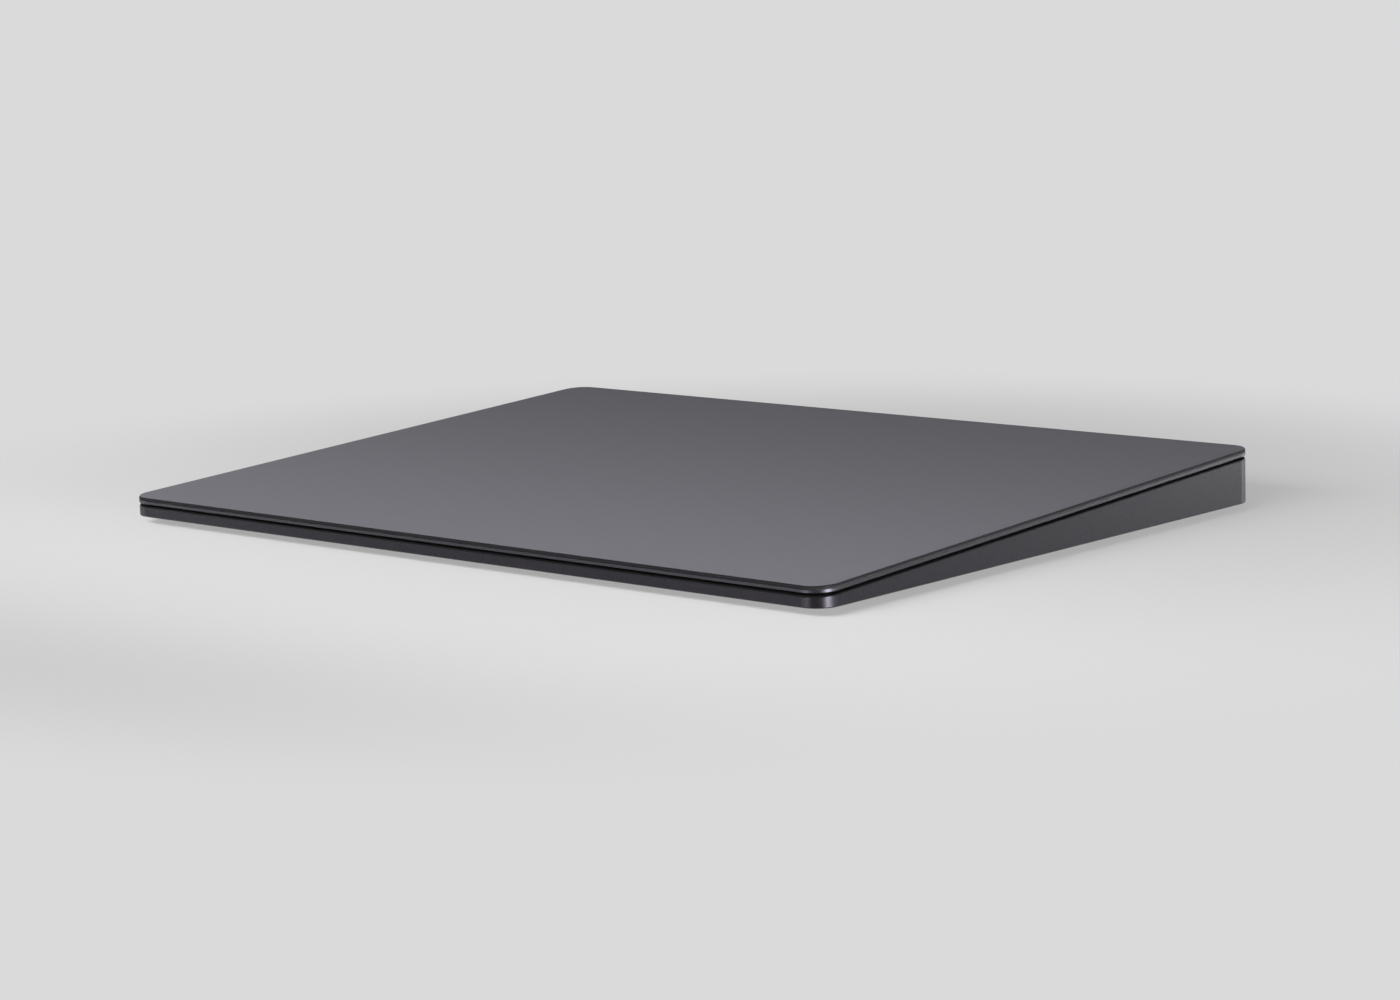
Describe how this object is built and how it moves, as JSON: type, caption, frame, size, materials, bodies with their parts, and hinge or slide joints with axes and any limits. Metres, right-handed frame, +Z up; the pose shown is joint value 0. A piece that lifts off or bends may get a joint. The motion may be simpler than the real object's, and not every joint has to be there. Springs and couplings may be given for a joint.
{
  "type": "trackpad",
  "caption": "Slim wedge-shaped desk trackpad: a frosted touch plate floats over a thin gap on a machined metal case, with a charging port and a slide switch in its rear wall.",
  "frame": {"origin": "on the desk under the middle of the case", "axes": "+X to the user's right along the long side, +Y to the rear where the case is thickest, +Z up"},
  "size_m": [0.16, 0.115, 0.0109],
  "materials": {
    "anodised_metal": "satin, dark grey anodised, fine bead-blasted grain",
    "base_sheet": "matte dark grey coated sheet",
    "rim_metal": "satin, dark grey anodised",
    "stiffener_steel": "fine brushed sheet",
    "touch_glass": "frosted, dark grey ink behind it, opaque",
    "foot_rubber": "matte",
    "glue_film": "matte black adhesive film",
    "board": "solder-mask green-black, satin",
    "spring_steel": "fine brushed",
    "screw_steel": "satin",
    "motor_steel": "satin, laminated",
    "coil_copper": "enamelled copper wire",
    "gel": "soft translucent gel",
    "battery_foil": "satin laminated foil",
    "flex_film": "amber polyimide film",
    "black_plastic": "fine matte",
    "chip_black": "matte moulded package",
    "can_steel": "tinned, satin",
    "contact_gold": "gold plated",
    "port_steel": "satin",
    "knob_metal": "satin, dark grey anodised",
    "indicator_green": "satin green"
  },
  "bodies": {
    "case": {"case_frame": "anodised_metal", "bottom_cover": "base_sheet", "cover_adhesive": "glue_film", "rubber_feet": "foot_rubber", "strain_gauges": "flex_film", "blade_screws": "screw_steel", "battery_pouch": "battery_foil", "battery_adhesive": "glue_film", "battery_board": "board", "battery_flex": "flex_film", "battery_socket": "black_plastic", "logic_board": "board", "pan_screws": "screw_steel", "processor_chip": "chip_black", "power_chips": "chip_black", "radio_module": "chip_black", "radio_shield": "can_steel", "antenna_carrier": "black_plastic", "antenna_flex": "flex_film", "touch_socket_lower": "black_plastic", "touch_flex": "flex_film", "haptic_socket": "black_plastic", "haptic_flex": "flex_film", "haptic_bracket": "can_steel", "haptic_core": "motor_steel", "haptic_coils": "coil_copper", "port_shell": "port_steel", "port_tongue": "black_plastic", "port_contacts": "contact_gold", "switch_housing": "can_steel", "front_left_blade": "spring_steel", "front_right_blade": "spring_steel", "rear_left_blade": "spring_steel", "rear_right_blade": "spring_steel"},
    "suspension": {"gel_pads": "gel"},
    "touch_plate": {"touch_glass": "touch_glass", "plate_rim": "rim_metal", "glass_adhesive": "glue_film", "sensor_board": "board", "stiffener_adhesive": "glue_film", "stiffener_plate": "stiffener_steel", "attraction_plate": "motor_steel", "touch_chips": "chip_black", "touch_socket_upper": "black_plastic"},
    "power_switch": {"switch_knob": "knob_metal", "switch_carrier": "black_plastic", "switch_indicator": "indicator_green", "switch_lever": "black_plastic"}
  },
  "joints": [
    {"name": "touch_press", "type": "slide", "parent": "case", "child": "suspension", "axis": [0, 0.0521, -0.9986], "range_m": [0, 0.0002], "stiffness_N_per_m": 40000, "springref_m": -0.00006, "deforming": ["front_left_blade", "front_right_blade", "rear_left_blade", "rear_right_blade", "touch_flex"]},
    {"name": "haptic_shift", "type": "slide", "parent": "suspension", "child": "touch_plate", "axis": [1, 0, 0], "range_m": [-0.0001, 0.0001], "stiffness_N_per_m": 40000},
    {"name": "power_slide", "type": "slide", "parent": "case", "child": "power_switch", "axis": [1, 0, 0], "range_m": [0, 0.003]}
  ]
}
